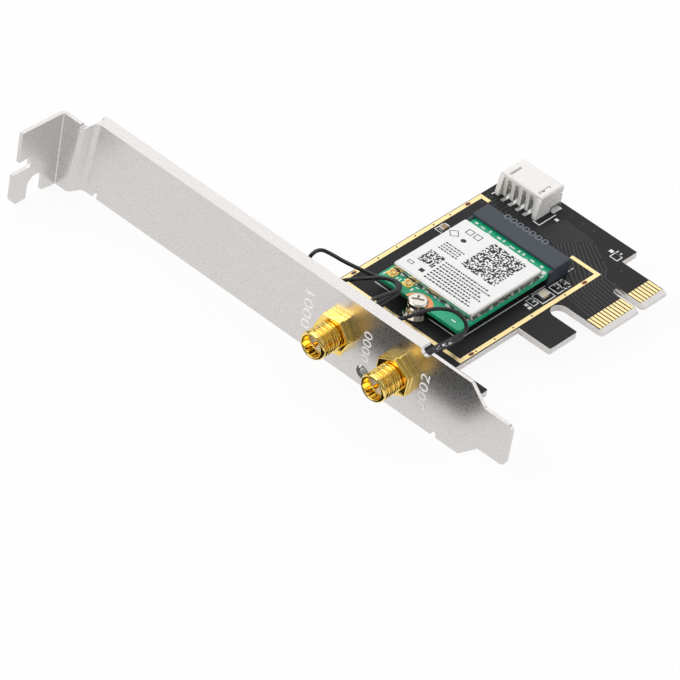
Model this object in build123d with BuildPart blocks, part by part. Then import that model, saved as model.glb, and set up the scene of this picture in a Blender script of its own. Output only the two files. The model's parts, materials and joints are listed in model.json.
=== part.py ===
from build123d import *
from math import cos, radians, sin, tan
import os

os.makedirs("parts", exist_ok=True)

# Axes: +X along the bracket from the screw flange to the tongue, +Y into the
# computer, +Z up from the component side of the board. The sizes below are drawn
# from the flange's seat (X), the outer face of the bracket (Y) and the top of the
# board (Z), and each finished piece is written with its origin on the flange's
# seat, in the middle of the screw slot.

# Bracket sheet
sheet = 0.86
bracket_length = 119.5
bracket_width = 18.42
bracket_bottom = -6.22
bracket_top = bracket_bottom + bracket_width
lip_depth = 3.0
bend_inner = 0.3
bend_outer = bend_inner + sheet
joggle = 3.07
joggle_low = 3.5
joggle_high = 5.4
joggle_run = 1.5
joggle_round = 1.3
joggle_end = joggle_high + joggle_run + 1.6
upper_lip_start = joggle_high + joggle_run - 0.9
lower_lip_start = joggle_end + 0.4
relief_radius = 1.35
small_relief = 0.85
tongue_width = 10.19
tongue_length = 6.9
tongue_slope = 4.4
tongue_bottom = -1.87
tongue_top = tongue_bottom + tongue_width
tongue_corner = 1.5
tongue_start_bottom = bracket_length - tongue_length
tongue_start_top = tongue_start_bottom - 0.4
shoulder_x = tongue_start_bottom - tongue_slope
upper_lip_setback = 13.3
lower_lip_setback = 7.3
upper_lip_end = shoulder_x - upper_lip_setback
lower_lip_end = shoulder_x - lower_lip_setback

# Flange for the case screw
flange_reach = 16.3
flange_step = 1.35
flange_notch = 4.8
flange_corner = 2.2
notch_width = 2.7
notch_high = 5.0
slot_width = 4.5
slot_y = -9.45
slot_centre_z = -2.85
flange_low = bracket_bottom + 0.4

# Board, with its tips placed along the bracket and its key behind the bracket
board = 1.57
tip_setback = 12.5
edge_tip = bracket_length - tip_setback
board_left = edge_tip - 45.1
board_right = edge_tip - 11.9
board_near = 3.4
board_far = 70.2
key_y = 57.15
key_width = 1.9
key_depth = 7.35
key_end = edge_tip - key_depth
long_edge = 12.15
short_edge = 8.15
edge_near = key_y - long_edge
edge_far = key_y + short_edge
hook_width = 4.1
ear_length = 8.5
ear_far = edge_near - hook_width
ear_near = ear_far - ear_length
ear_x = edge_tip - 3.55
foot_x = edge_tip - 3.4
foot_length = 9.7
foot_y = board_near + foot_length
step_x = board_right - 0.2
bevel = 0.45

# Edge contacts
contact_width = 0.7
contact_pitch = 1.0
contact_start = edge_tip - 4.72
contact_end = edge_tip - 1.15
key_to_contact = 1.5
metal_film = 0.04
long_row = 11
short_row = 7

# Radio module
module_left = board_left + 6.2
module_width = 22.0
module_right = module_left + module_width
module_near = 18.8
module_length = 30.0
module_far = module_near + module_length
module_thickness = 0.8
module_top = 3.0
module_bottom = module_top - module_thickness
module_mid = module_left + module_width / 2
screw_notch = 1.75
copper_ring = 2.75
shield_left = module_left + 0.55
shield_right = module_right - 0.5
shield_near = module_near + 4.1
shield_far = module_far - 3.6
shield_height = 1.6
shield_top = module_top + shield_height
shield_sheet = 0.2
label_margin = 0.25
label_film = 0.08
slot_clearance = 0.12
socket_side = 0.2
chip_gap = 1.5
socket_left = module_left - socket_side
socket_right = module_right + socket_side
socket_near = module_far - 0.4
socket_depth = 5.0
socket_far = socket_near + socket_depth
socket_top = module_top + 1.0
socket_jaw = socket_near - 1.7
jaw_wall = socket_side - slot_clearance + 0.62
tail_count = 34
tail_pitch = 0.6
receptacle_y = module_near + 2.85
receptacle_1_x = module_left + 1.7
receptacle_2_x = receptacle_1_x + 4.2

# Gold frame on the board
frame_width = 1.0
frame_left = board_left + 0.2
frame_right = board_right - 0.25
frame_near = module_near - 4.1
frame_far = socket_far + 5.2
frame_gap_left = module_left - 3.2
frame_gap_right = module_right - 2.9

# Standoff and module screw
post_flange = 2.75
post_radius = 2.0
post_neck = 1.65
head_radius = 2.2
head_height = 1.0
shank_radius = 1.0
thread_gap = 0.02
post_hole = shank_radius + thread_gap
recess_width = 0.5
recess_length = 2.6

# Board screws and the two ears that carry the board
ear_width = 7.0
ear_step = 4.5
ear_reach = 12.4
ear_screw_y = ear_reach - 3.8
ear_screw_left = board_left + 3.7
ear_screw_right = lower_lip_end - ear_width / 2
board_screw_radius = 1.22
board_screw_clearance = 0.18
board_head_radius = 2.2
board_head_height = 1.35
board_screw_length = board + sheet + 1.8

# Jacks
jack_1_x = board_left + 12.8
jack_spacing = 16.1
jack_2_x = jack_1_x + jack_spacing
jack_z = 3.0
jack_reach = 8.0
thread_radius = 3.175
thread_root = 2.85
collar_length = 0.95
mouth_bevel = 0.4
groove_length = 0.4
groove_radius = 2.72
panel_clearance = 0.1
bore_radius = 2.4
floor_depth = 2.4
flange_radius = 3.9
flange_thick = 2.0
barrel_radius = 0.68
barrel_bore = 0.5
barrel_end = 8.0
nut_flats = 8.2
nut_chamfer = 0.22
inner_nut = 1.2
outer_nut = 1.15
nut_1_turn = 6.0
nut_2_turn = 25.0
pin_radius = 0.46
pin_tip = 0.1
insulator_gap = 0.02

# Leads
lead_radius = 0.405
sleeve_radius = 0.85
sleeve_start = barrel_end - 3.0
sleeve_1_end = 17.6
sleeve_2_end = 18.1
sleeve_gap = 0.02
plug_side = 1.3
plug_length = 2.2

# White side-entry header
header_left = board_left + 1.8
header_width = 11.3
header_right = header_left + header_width
header_depth = 7.0
header_far = board_far - 1.2
header_near = header_far - header_depth
header_top = 5.5
mouth_wall = 1.0
mouth_left = header_left + mouth_wall
mouth_right = header_right - mouth_wall
mouth_low = 0.6
mouth_high = header_top - 0.5
mouth_back = header_near + 1.6
pin_pitch = 2.0
pin_count = 4
pin_first = (header_left + header_right - pin_pitch * (pin_count - 1)) / 2 + 0.05
pin_side = 0.5
pin_width = 0.85
pin_height = 2.7
foot_reach = 1.8
foot_height = 0.22
leg_depth = 1.0
leg_width = 1.1
leg_high = 4.6
leg_toe = 0.8
rail_cut = 0.35
tab_start = header_near + 3.6
tab_end = tab_start + 2.8
tab_sheet = 0.3

# Status light
light_x = jack_1_x + 7.6
light_z = -2.9
light_radius = 1.25
light_hole = 1.65
light_front = 0.25
light_body = 3.0


def box(x0, x1, y0, y1, z0, z1, mode=Mode.ADD):
    """Add a plain block between the given faces."""
    with Locations(((x0 + x1) / 2, (y0 + y1) / 2, (z0 + z1) / 2)):
        Box(x1 - x0, y1 - y0, z1 - z0, mode=mode)


def turned(x, z, points, mode=Mode.ADD):
    """Turn a profile of (radius, y) points about a line along Y."""
    with BuildSketch(Plane.XY.offset(z)) as profile:
        with BuildLine():
            Polyline(*[(x + r, y) for r, y in points], close=True)
        make_face()
    revolve(profile.sketch, axis=Axis((x, 0, z), (0, 1, 0)), mode=mode)


def save(name, label):
    """Label a part and write its file."""
    name.part.label = label
    placed = name.part.moved(Location((0, -slot_y, -slot_centre_z)))
    placed.label = label
    export_step(placed, "parts/" + label + ".step")


# Neck section, with the offset step that leans towards the flange at the bottom
def neck_section(height, start):
    with BuildSketch(Plane.XY.offset(height)) as section:
        with BuildLine():
            Polyline(
                (-sheet, -joggle - 1.5),
                (0, -joggle - 1.5),
                (0, -joggle),
                (start, -joggle),
                (start + joggle_run, 0),
                (joggle_end, 0),
                (joggle_end, sheet),
                (start + joggle_run - 0.35, sheet),
                (start - 0.35, -joggle + sheet),
                (-sheet, -joggle + sheet),
                close=True,
            )
        make_face()
        fillet(section.vertices().filter_by(lambda v: 0.5 < v.X < joggle_end - 0.5), joggle_round)
        fillet(section.vertices().filter_by(lambda v: abs(v.X) < 0.01 and abs(v.Y + joggle) < 0.01), bend_inner)
        fillet(section.vertices().filter_by(lambda v: v.X < -0.5 and v.Y > -joggle), bend_outer)
    return section.sketch


with BuildPart() as bracket:
    loft([neck_section(bracket_bottom, joggle_low), neck_section(bracket_top, joggle_high)], ruled=True)
    # Flange
    with BuildSketch(Plane.YZ) as flange:
        with BuildLine():
            Polyline(
                (-joggle - 1.2, bracket_top),
                (-flange_reach + flange_step, bracket_top + 0.3),
                (-flange_reach + flange_step, notch_high),
                (-flange_reach + flange_notch, notch_high),
                (-flange_reach + flange_notch, notch_high - notch_width),
                (-flange_reach, notch_high - notch_width),
                (-flange_reach, flange_low + 1.7),
                (-flange_reach + 1.6, flange_low),
                (slot_y - slot_width / 2, flange_low),
                (slot_y - slot_width / 2, slot_centre_z),
                (slot_y + slot_width / 2, slot_centre_z),
                (slot_y + slot_width / 2, flange_low + 0.1),
                (-joggle - 1.2, bracket_bottom),
                close=True,
            )
        make_face()
        with Locations((slot_y, slot_centre_z)):
            Circle(slot_width / 2, mode=Mode.SUBTRACT)
        corners = flange.vertices().filter_by(lambda v: v.Y < slot_y - slot_width / 2 - 0.5 and v.Z < notch_high + 0.1)
        fillet(corners, 0.45)
        fillet(flange.vertices().filter_by(lambda v: v.Y < slot_y and v.Z > bracket_top), flange_corner)
    extrude(amount=-sheet)
    # Plate and tongue
    with BuildSketch(Plane.XZ) as plate:
        with BuildLine():
            Polyline(
                (joggle_end, bracket_top - 2),
                (upper_lip_end, bracket_top - 2),
                (upper_lip_end, bracket_top),
                (shoulder_x, bracket_top),
                (tongue_start_top, tongue_top),
                (bracket_length, tongue_top),
                (bracket_length, tongue_bottom),
                (tongue_start_bottom, tongue_bottom),
                (shoulder_x, bracket_bottom),
                (lower_lip_end + 1.4, bracket_bottom),
                (lower_lip_end + 1.2, bracket_bottom + 1.1),
                (lower_lip_end, bracket_bottom + 1.4),
                (lower_lip_end, bracket_bottom + 2),
                (joggle_end, bracket_bottom + 2),
                close=True,
            )
        make_face()
        with Locations((upper_lip_end + relief_radius, bracket_top)):
            Circle(relief_radius, mode=Mode.SUBTRACT)
        fillet(plate.vertices().filter_by(lambda v: v.X > bracket_length - 0.1), tongue_corner)
        fillet(plate.vertices().filter_by(lambda v: shoulder_x - 0.1 < v.X < bracket_length - 5), 0.6)
    extrude(amount=-sheet)
    # Lips: two folded edges, each an angle section pulled along X
    for start, end, edge, inward in (
        (upper_lip_start, upper_lip_end, bracket_top, -1),
        (lower_lip_start, lower_lip_end, bracket_bottom, 1),
    ):
        with BuildSketch(Plane.YZ.offset(start)) as lip:
            with BuildLine():
                Polyline(
                    (0, edge),
                    (lip_depth, edge),
                    (lip_depth, edge + inward * sheet),
                    (sheet, edge + inward * sheet),
                    (sheet, edge + inward * 2.2),
                    (0, edge + inward * 2.2),
                    close=True,
                )
            make_face()
            outer = lip.vertices().filter_by(lambda v: abs(v.Y) < 0.01 and abs(v.Z - edge) < 0.01)
            fillet(outer, bend_outer)
            corner = lip.vertices().filter_by(lambda v: abs(v.Y - sheet) < 0.01 and abs(v.Z - edge) < 1)
            fillet(corner, bend_inner)
        extrude(amount=end - start)
    # Ears under the board
    for x in (ear_screw_left, ear_screw_right):
        with BuildSketch(Plane.YZ.offset(x - ear_width / 2)):
            with BuildLine():
                Polyline(
                    (lip_depth - 0.6, bracket_bottom),
                    (ear_step, bracket_bottom),
                    (ear_step, -board - sheet),
                    (ear_reach, -board - sheet),
                    (ear_reach, -board),
                    (ear_step - sheet, -board),
                    (ear_step - sheet, bracket_bottom + sheet),
                    (lip_depth - 0.6, bracket_bottom + sheet),
                    close=True,
                )
            make_face()
        extrude(amount=ear_width)
        with Locations((x, ear_screw_y, -board - sheet / 2)):
            Cylinder(board_screw_radius + thread_gap, sheet * 2, mode=Mode.SUBTRACT)
    # Relief cuts beside the lips
    with Locations((upper_lip_start - small_relief / 2, -1.5, bracket_top)):
        Cylinder(small_relief, 7, rotation=(90, 0, 0), mode=Mode.SUBTRACT)
    box(lower_lip_start - 1.3, lower_lip_start, -0.5, sheet + 0.1, bracket_bottom - 1, bracket_bottom + 1.3, Mode.SUBTRACT)
    # Holes for the jacks and the status light
    for x in (jack_1_x, jack_2_x):
        with Locations((x, sheet / 2, jack_z)):
            Cylinder(thread_radius + panel_clearance, sheet * 2, rotation=(90, 0, 0), mode=Mode.SUBTRACT)
    with Locations((light_x, sheet / 2, light_z)):
        Cylinder(light_hole, sheet * 2, rotation=(90, 0, 0), mode=Mode.SUBTRACT)
save(bracket, "bracket")

# Main board
with BuildPart() as main_board:
    with BuildSketch(Plane.XY.offset(-board)) as outline:
        with BuildLine():
            Polyline(
                (board_left, board_near),
                (foot_x, board_near),
                (foot_x, foot_y),
                (board_right, foot_y),
                (board_right, ear_near),
                (ear_x, ear_near),
                (ear_x, ear_far),
                (board_right, ear_far),
                (board_right, edge_near),
                (edge_tip, edge_near),
                (edge_tip, edge_far),
                (step_x, edge_far),
                (step_x, board_far),
                (board_left, board_far),
                close=True,
            )
        make_face()
        fillet(outline.vertices().filter_by(lambda v: v.Y > ear_far - 0.1 and v.Y < edge_near + 0.1 and v.X < board_right + 1), 2.0)
        fillet(outline.vertices().filter_by(lambda v: v.X > ear_x - 0.1 and v.X < foot_x + 0.1), 0.4)
        with Locations(((key_end + edge_tip) / 2 + 1, key_y)):
            SlotOverall(edge_tip - key_end + 2, key_width, mode=Mode.SUBTRACT)
        with Locations((ear_screw_left, ear_screw_y), (ear_screw_right, ear_screw_y)):
            Circle(board_screw_radius + board_screw_clearance, mode=Mode.SUBTRACT)
    extrude(amount=board)
    tips = main_board.edges().filter_by(Axis.Y).filter_by(lambda e: abs(e.center().X - edge_tip) < 0.01)
    chamfer(tips, bevel, bevel * 2.2)
save(main_board, "main_board")

# Contacts of the edge connector, both faces
with BuildPart() as edge_contacts:
    rows = [key_y - key_to_contact - contact_pitch * i for i in range(long_row)]
    rows += [key_y + key_to_contact + contact_pitch * i for i in range(short_row)]
    for y in rows:
        half = contact_width / 2
        box(contact_start, contact_end, y - half, y + half, 0, metal_film)
        box(contact_start, contact_end, y - half, y + half, -board - metal_film, -board)
save(edge_contacts, "edge_contacts")

# Gold frame printed round the module
with BuildPart() as gold_frame:
    with BuildSketch(Plane.XY):
        with Locations(((frame_left + frame_right) / 2, (frame_near + frame_far) / 2)):
            Rectangle(frame_right - frame_left, frame_far - frame_near)
            Rectangle(
                frame_right - frame_left - 2 * frame_width,
                frame_far - frame_near - 2 * frame_width,
                mode=Mode.SUBTRACT,
            )
        with Locations(((frame_gap_left + frame_gap_right) / 2, frame_far - frame_width / 2)):
            Rectangle(frame_gap_right - frame_gap_left, frame_width * 3, mode=Mode.SUBTRACT)
    extrude(amount=metal_film)
save(gold_frame, "gold_frame")

# Module socket
with BuildPart() as socket_housing:
    box(socket_left, socket_right, socket_near, socket_far, metal_film, socket_top)
    box(socket_left, socket_left + jaw_wall, socket_jaw, socket_near, metal_film, module_top + 0.4)
    box(socket_right - jaw_wall, socket_right, socket_jaw, socket_near, metal_film, module_top + 0.4)
    box(socket_left, socket_right, socket_jaw + 0.3, socket_near, metal_film, module_bottom - 0.5)
    box(
        module_left - slot_clearance,
        module_left + module_width + slot_clearance,
        socket_jaw - 1,
        module_near + module_length + slot_clearance,
        module_bottom - 0.02,
        module_top + 0.25,
        Mode.SUBTRACT,
    )
    top_edges = socket_housing.edges().filter_by(lambda e: e.center().Z > socket_top - 0.01)
    chamfer(top_edges, 0.18)
save(socket_housing, "socket_housing")

with BuildPart() as socket_contacts:
    first = (socket_left + socket_right) / 2 - tail_pitch * (tail_count - 1) / 2
    for i in range(tail_count):
        x = first + tail_pitch * i
        box(x - 0.12, x + 0.12, socket_far - 0.3, socket_far + 1.3, 0, metal_film)
        box(x - 0.12, x + 0.12, socket_far, socket_far + 0.25, metal_film, 0.6)
save(socket_contacts, "socket_contacts")

# Radio module: board, screw pad, shield, label
with BuildPart() as module_board:
    with BuildSketch(Plane.XY.offset(module_bottom)) as green:
        with Locations((module_mid, module_near + module_length / 2)):
            Rectangle(module_width, module_length)
        fillet(green.vertices(), 0.5)
        with Locations((module_mid, module_near)):
            Circle(screw_notch, mode=Mode.SUBTRACT)
    extrude(amount=module_thickness)
save(module_board, "module_board")

with BuildPart() as module_pad:
    with BuildSketch(Plane.XY.offset(module_top)):
        with Locations((module_mid, module_near)):
            Circle(copper_ring)
            Circle(screw_notch + 0.05, mode=Mode.SUBTRACT)
        with Locations((module_mid, module_near - copper_ring)):
            Rectangle(copper_ring * 3, copper_ring * 2, mode=Mode.SUBTRACT)
    extrude(amount=metal_film)
save(module_pad, "module_pad")

with BuildPart() as module_shield:
    box(shield_left, shield_right, shield_near, shield_far, module_top, shield_top)
    uprights = module_shield.edges().filter_by(Axis.Z)
    fillet(uprights, 0.5)
    rim = module_shield.edges().filter_by(lambda e: e.center().Z > shield_top - 0.01)
    fillet(rim, 0.22)
    box(
        shield_left + shield_sheet,
        shield_right - shield_sheet,
        shield_near + shield_sheet,
        shield_far - shield_sheet,
        module_top - 1,
        shield_top - shield_sheet,
        Mode.SUBTRACT,
    )
    slots = 7
    for i in range(slots):
        x = shield_left + (shield_right - shield_left) * (i + 0.5) / slots
        box(x - 0.7, x + 0.7, shield_near - 1, shield_far + 1, module_top + 0.15, module_top + 0.5, Mode.SUBTRACT)
        y = shield_near + (shield_far - shield_near) * (i + 0.5) / slots
        box(shield_left - 1, shield_right + 1, y - 0.7, y + 0.7, module_top + 0.15, module_top + 0.5, Mode.SUBTRACT)
save(module_shield, "module_shield")

with BuildPart() as module_label:
    with BuildSketch(Plane.XY.offset(shield_top)) as paper:
        with Locations(((shield_left + shield_right) / 2, (shield_near + shield_far) / 2)):
            Rectangle(
                shield_right - shield_left - 2 * label_margin,
                shield_far - shield_near - 2 * label_margin,
            )
        fillet(paper.vertices(), 0.4)
    extrude(amount=label_film)
save(module_label, "module_label")


# Aerial sockets on the module: a square foot, a ring and a small post
def receptacle(x, y):
    with BuildPart() as piece:
        box(x - 1.0, x + 1.0, y - 1.0, y + 1.0, module_top, module_top + 0.14)
        with Locations((x, y, module_top + 0.35)):
            Cylinder(0.72, 0.7)
            Cylinder(0.55, 0.7, mode=Mode.SUBTRACT)
        with Locations((x, y, module_top + 0.07)):
            Cylinder(0.56, 0.14)
        with Locations((x, y, module_top + 0.3)):
            Cylinder(0.16, 0.6)
    return piece


receptacle_1 = receptacle(receptacle_1_x, receptacle_y)
save(receptacle_1, "receptacle_1")
receptacle_2 = receptacle(receptacle_2_x, receptacle_y)
save(receptacle_2, "receptacle_2")

# Standoff and screw of the module
with BuildPart() as standoff:
    with Locations((module_mid, module_near, 0.25)):
        Cylinder(post_flange, 0.5)
    with Locations((module_mid, module_near, (0.5 + module_bottom) / 2)):
        Cylinder(post_radius, module_bottom - 0.5)
    with Locations((module_mid, module_near, module_top / 2)):
        Cylinder(post_neck, module_top)
        Cylinder(post_hole, module_top * 3, mode=Mode.SUBTRACT)
    with BuildSketch(Plane.XY.offset(0.5)):
        with Locations((module_mid, module_near)):
            RegularPolygon(post_radius * 1.1, 6)
            Circle(post_hole, mode=Mode.SUBTRACT)
    extrude(amount=module_bottom - 0.9)
save(standoff, "standoff")


def pan_screw(x, y, seat, radius, height, shank, length):
    with BuildPart() as piece:
        with Locations((x, y, seat + height / 2)):
            Cylinder(radius, height)
        crown = piece.edges().filter_by(lambda e: e.center().Z > seat + height - 0.01)
        fillet(crown, height * 0.55)
        with Locations((x, y, seat - length / 2)):
            Cylinder(shank, length)
        for turn in (35, 125):
            with Locations(Location((x, y, seat + height), (0, 0, turn))):
                Box(recess_length, recess_width, height * 1.2, mode=Mode.SUBTRACT)
    return piece


module_screw = pan_screw(module_mid, module_near, module_top + metal_film, head_radius, head_height, shank_radius, 2.9)
save(module_screw, "module_screw")

with BuildPart() as board_screws:
    for x in (ear_screw_left, ear_screw_right):
        one = pan_screw(x, ear_screw_y, 0, board_head_radius, board_head_height, board_screw_radius, board_screw_length)
        add(one.part)
save(board_screws, "board_screws")


# Jack: threaded shell that passes the plate, flange and crimp barrel behind it
def jack_shell(x):
    outline = [(bore_radius, -jack_reach), (thread_radius - mouth_bevel, -jack_reach)]
    outline += [(thread_radius, -jack_reach + mouth_bevel), (thread_radius, -jack_reach + collar_length)]
    y = -jack_reach + collar_length
    outline += [(groove_radius, y + 0.1), (groove_radius, y + groove_length)]
    outline += [(thread_radius, y + groove_length + 0.1), (thread_radius, -inner_nut - outer_nut - thread_gap)]
    outline += [(thread_root, -inner_nut - outer_nut - thread_gap), (thread_root, sheet)]
    outline += [(flange_radius, sheet)]
    outline += [(flange_radius, sheet + flange_thick), (barrel_radius, sheet + flange_thick)]
    outline += [(barrel_radius, barrel_end), (barrel_bore, barrel_end)]
    outline += [(barrel_bore, sheet + 1.0), (bore_radius, sheet + 0.6)]
    with BuildPart() as piece:
        turned(x, jack_z, outline)
    return piece


def hexagon(x, turn, front, back):
    with BuildPart() as piece:
        with BuildSketch(Plane(origin=(x, back, jack_z), x_dir=(1, 0, 0), z_dir=(0, -1, 0))):
            RegularPolygon(nut_flats / 2, 6, major_radius=False, rotation=turn)
            Circle(thread_root + thread_gap, mode=Mode.SUBTRACT)
        extrude(amount=back - front)
        rim = piece.edges().filter_by(lambda e: abs(e.center().Y - front) < 0.01)
        rim = rim.filter_by(GeomType.LINE)
        chamfer(rim, nut_chamfer)
    return piece


def insulator(x):
    outer = bore_radius - insulator_gap
    with BuildPart() as piece:
        profile = [(pin_radius + insulator_gap, -jack_reach + floor_depth), (outer, -jack_reach + floor_depth)]
        profile += [(outer, sheet + 0.5), (pin_radius + insulator_gap, sheet + 0.5)]
        turned(x, jack_z, profile)
    return piece


def centre_pin(x):
    with BuildPart() as piece:
        tip = -jack_reach + pin_tip
        profile = [(0, tip), (pin_radius * 0.6, tip), (pin_radius, tip + 0.35)]
        profile += [(pin_radius, barrel_end - 1.5), (0, barrel_end - 1.5)]
        turned(x, jack_z, profile)
    return piece


jack_1_shell = jack_shell(jack_1_x)
save(jack_1_shell, "jack_1_shell")
jack_2_shell = jack_shell(jack_2_x)
save(jack_2_shell, "jack_2_shell")
jack_1_inner_nut = hexagon(jack_1_x, nut_1_turn, -inner_nut, 0)
save(jack_1_inner_nut, "jack_1_inner_nut")
jack_2_inner_nut = hexagon(jack_2_x, nut_2_turn, -inner_nut, 0)
save(jack_2_inner_nut, "jack_2_inner_nut")
jack_1_outer_nut = hexagon(jack_1_x, nut_1_turn + 2, -inner_nut - outer_nut, -inner_nut)
save(jack_1_outer_nut, "jack_1_outer_nut")
jack_2_outer_nut = hexagon(jack_2_x, nut_2_turn + 3, -inner_nut - outer_nut, -inner_nut)
save(jack_2_outer_nut, "jack_2_outer_nut")
jack_1_insulator = insulator(jack_1_x)
save(jack_1_insulator, "jack_1_insulator")
jack_2_insulator = insulator(jack_2_x)
save(jack_2_insulator, "jack_2_insulator")
jack_1_pin = centre_pin(jack_1_x)
save(jack_1_pin, "jack_1_pin")
jack_2_pin = centre_pin(jack_2_x)
save(jack_2_pin, "jack_2_pin")

# Leads: straight runs joined by tangent arcs
lead_1_route = [
    (jack_1_x, barrel_end + 0.1, jack_z),
    (jack_1_x, 12.9, jack_z),
    (jack_1_x + 0.2, 18.45, jack_z + 0.65),
    (jack_1_x - 1.4, 19.4, 4.3),
    (jack_1_x - 3.1, 18.1, 4.75),
    (jack_1_x - 5.1, 16.5, 4.8),
    (jack_1_x - 7.9, 14.6, 5.9),
    (jack_1_x - 10, 12.0, 7.7),
    (jack_1_x - 11.7, 9.3, 10.1),
    (jack_1_x - 13.7, 7.9, 10.9),
    (jack_1_x - 14.7, 6.3, 9.3),
    (jack_1_x - 14.5, 5.2, 6.4),
    (jack_1_x - 12.8, 4.5, 4.0),
    (jack_1_x - 10.3, 4.4, 2.6),
    (jack_1_x - 7.5, 4.6, 2.1),
]
lead_2_route = [
    (jack_2_x, barrel_end + 0.1, jack_z),
    (jack_2_x + 0.1, 11.5, jack_z),
    (jack_2_x + 0.4, 15.2, jack_z - 0.15),
    (jack_2_x + 0.6, 19.3, jack_z - 0.1),
    (jack_2_x + 0.1, 20.3, 4.7),
    (jack_2_x - 2.2, 19.3, 6.9),
    (jack_2_x - 4.8, 17.1, 7.3),
    (jack_2_x - 6.3, 13.7, 7.4),
    (jack_2_x - 7.5, 10.0, 6.7),
    (jack_2_x - 9.5, 7.3, 5.9),
    (jack_1_x + 3.5, 6.6, 5.5),
    (jack_1_x + 0.8, 7.5, 5.5),
    (jack_1_x - 0.6, 10.0, 5.2),
    (jack_1_x - 0.1, 12.9, 5.1),
    (jack_1_x + 0.7, 15.7, 5.2),
    (jack_1_x + 0.2, 17.5, 5.4),
    (jack_1_x - 1.8, 17.4, 5.8),
    (jack_1_x - 4, 15.5, 5.9),
    (jack_1_x - 6.6, 13.5, 4.8),
    (jack_1_x - 9, 11.0, 4.2),
    (jack_1_x - 10.6, 8.9, 3.4),
]


def corner_radii(route):
    """Radius at each corner: 0.45 of the shorter run over the tangent of half the turn."""
    radii = []
    for a, b, c in zip(route, route[1:], route[2:]):
        run_in = Vector(*b) - Vector(*a)
        run_out = Vector(*c) - Vector(*b)
        half = radians(run_in.get_angle(run_out)) / 2
        shorter = min(run_in.length, run_out.length)
        radii.append(0.45 * shorter / tan(half))
    return radii


def tube(route, radius, label):
    radii = corner_radii(route)
    with BuildPart() as piece:
        with BuildLine() as path:
            FilletPolyline(*route, radius=radii)
        run = path.wires()[0]
        with BuildSketch(Plane(origin=run @ 0, z_dir=run % 0)):
            Circle(radius)
        sweep()
    expected = run.length * 3.14159265 * radius**2
    print(label, "length %.1f" % run.length, "volume ratio %.4f" % (piece.part.volume / expected))
    print(label, "radii", [round(r, 1) for r in radii])
    return piece


lead_1 = tube(lead_1_route, lead_radius, "lead_1")
save(lead_1, "lead_1")
lead_2 = tube(lead_2_route, lead_radius, "lead_2")
save(lead_2, "lead_2")


# Shrink sleeves over the crimp barrels and the first stretch of each lead
def sleeve(x, route, count, end_y, label):
    last = Vector(*route[count - 1])
    toward = Vector(*route[count]) - last
    end = last + toward * ((end_y - last.Y) / toward.Y)
    middle = route[1:count]
    outer = tube([(x, sleeve_start, jack_z)] + middle + [tuple(end)], sleeve_radius, label)
    hole = tube([route[0]] + middle + [route[count]], lead_radius + sleeve_gap, label + "_bore")
    with BuildPart() as piece:
        add(outer.part)
        add(hole.part, mode=Mode.SUBTRACT)
        with Locations((x, (sleeve_start + barrel_end) / 2 - 0.45, jack_z)):
            Cylinder(
                barrel_radius + sleeve_gap,
                barrel_end - sleeve_start + 1.1,
                rotation=(90, 0, 0),
                mode=Mode.SUBTRACT,
            )
    return piece


jack_1_sleeve = sleeve(jack_1_x, lead_1_route, 2, sleeve_1_end, "jack_1_sleeve")
save(jack_1_sleeve, "jack_1_sleeve")
jack_2_sleeve = sleeve(jack_2_x, lead_2_route, 3, sleeve_2_end, "jack_2_sleeve")
save(jack_2_sleeve, "jack_2_sleeve")


# Push-fit plugs at the ends of the leads
def plug(route):
    end = Vector(*route[-1])
    along = (end - Vector(*route[-2])).normalized()
    frame = Plane(origin=end, z_dir=along)
    with BuildPart() as piece:
        with BuildSketch(frame):
            Rectangle(plug_side, plug_side)
        extrude(amount=plug_length)
        with BuildSketch(Plane(origin=end + along * (plug_length - 0.2), z_dir=along)):
            RegularPolygon(plug_side * 0.8, 8)
        extrude(amount=plug_side)
    return piece


plug_1 = plug(lead_1_route)
save(plug_1, "plug_1")
plug_2 = plug(lead_2_route)
save(plug_2, "plug_2")

# Header
with BuildPart() as header_housing:
    box(header_left, header_right, header_near, header_far, 0.0, header_top)
    top_rim = header_housing.edges().filter_by(lambda e: e.center().Z > header_top - 0.01)
    chamfer(top_rim, 0.3)
    box(mouth_left, mouth_right, mouth_back, header_far + 1, mouth_low, mouth_high, Mode.SUBTRACT)
    for x in (header_left, header_right - leg_width):
        with BuildSketch(Plane.YZ.offset(x)):
            with BuildLine():
                Polyline(
                    (header_near + 0.5, 0),
                    (header_near - leg_depth, 0),
                    (header_near - leg_depth, leg_toe),
                    (header_near - 0.25, leg_high),
                    (header_near + 0.5, leg_high),
                    close=True,
                )
            make_face()
        extrude(amount=leg_width)
    for i in range(pin_count):
        x = pin_first + pin_pitch * i
        half = pin_width / 2 + 0.12
        box(x - half, x + half, header_near - 1, header_near + 0.8, -1, pin_height + 0.8, Mode.SUBTRACT)
        with Locations((x, header_near - 0.1, pin_height + 0.8)):
            Cylinder(0.9, half * 2, rotation=(0, 90, 0), mode=Mode.SUBTRACT)
        with Locations((x, mouth_back - 0.5, pin_height)):
            Box(pin_side + 0.04, 2.6, pin_side + 0.04, mode=Mode.SUBTRACT)
    # Sprung slots in the top and a groove along each end
    for x in (mouth_left + 0.85, mouth_right - 0.55):
        box(x - 0.3, x + 0.3, header_near + 0.5, header_near + 4.3, mouth_high - 0.1, header_top + 1, Mode.SUBTRACT)
    for x in (header_left, header_right):
        box(x - rail_cut, x + rail_cut, header_near + 1.2, header_far + 1, 3.3, 3.8, Mode.SUBTRACT)
save(header_housing, "header_housing")

with BuildPart() as header_pins:
    for i in range(pin_count):
        x = pin_first + pin_pitch * i
        half = pin_side / 2
        wide = pin_width / 2
        drop = header_near + 0.15
        box(x - half, x + half, drop, header_far - 1.6, pin_height - half, pin_height + half)
        box(x - wide, x + wide, drop, drop + 0.3, 0.0, pin_height + half)
        box(x - wide, x + wide, header_near - foot_reach, drop + 0.3, 0.0, foot_height)
save(header_pins, "header_pins")

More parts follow.
